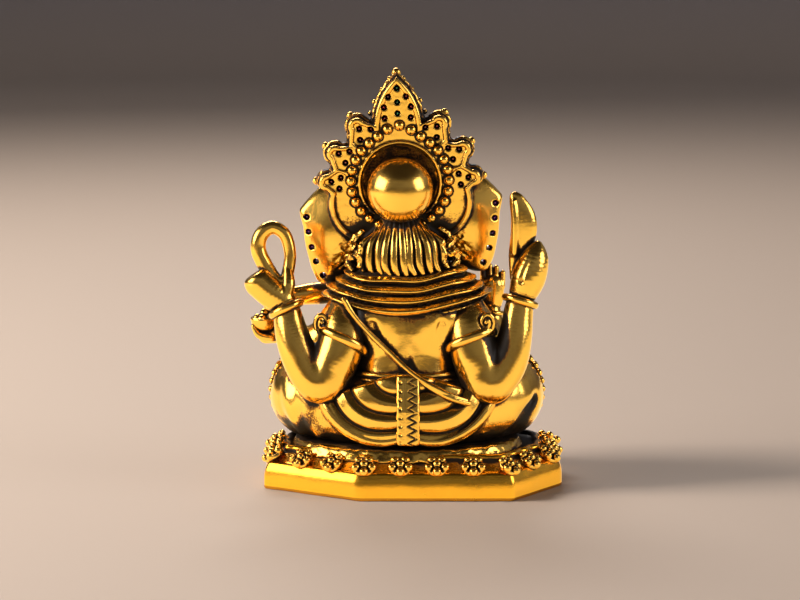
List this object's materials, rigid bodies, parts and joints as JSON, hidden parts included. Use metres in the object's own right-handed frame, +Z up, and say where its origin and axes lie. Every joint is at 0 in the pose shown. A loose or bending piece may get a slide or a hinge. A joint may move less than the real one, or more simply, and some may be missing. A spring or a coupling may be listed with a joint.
{
  "type": "ganesha idol",
  "caption": "Small gold-finished elephant-headed idol, seated on a flowered octagonal plinth, with a pierced stone-set crown, shawl, noose and axe. It stands free on its flat underside.",
  "frame": {"origin": "on the plane of the plinth's resting face, under the middle of the idol's body", "axes": "+Z up, the face looks along -Y, +X is the idol's own left"},
  "size_m": [0.0498, 0.0332, 0.0649],
  "materials": {
    "gold": "gold-plated, polished, with dark antiquing in the recesses",
    "red_stone": "faceted and polished",
    "green_stone": "faceted and polished",
    "purple_stone": "faceted and polished"
  },
  "bodies": {
    "root": {"plinth": "gold", "plinth_florets": "gold", "seat_pad": "gold", "base_pegs": "gold", "torso": "gold", "folded_legs": "gold", "left_foot": "gold", "right_foot": "gold", "left_drape": "gold", "right_drape": "gold", "waist_belt": "gold", "back_sash": "gold", "knee_borders": "gold", "anklets": "gold", "rear_left_arm": "gold", "rear_right_arm": "gold", "front_left_arm": "gold", "front_right_arm": "gold", "rear_left_hand": "gold", "rear_right_hand": "gold", "front_left_hand": "gold", "front_right_hand": "gold", "wrist_pegs": "gold", "noose": "gold", "axe": "gold", "sweet_bowl": "gold", "sweets": "gold", "left_armlet": "gold", "right_armlet": "gold", "left_bracelet": "gold", "right_bracelet": "gold", "front_bracelets": "gold", "shawl": "gold", "sacred_thread": "gold", "necklace": "gold", "pendant": "gold", "head": "gold", "neck_peg": "gold", "trunk": "gold", "left_tusk": "gold", "right_tusk": "gold", "eyes": "gold", "left_ear": "gold", "right_ear": "gold", "hair": "gold", "crown_plate": "gold", "crown_tips": "gold", "crown_cap": "gold", "crown_bun": "gold", "crown_beads": "gold", "red_stones": "red_stone", "green_stones": "green_stone", "purple_stones": "purple_stone", "forehead_stone": "red_stone"}
  },
  "joints": []
}
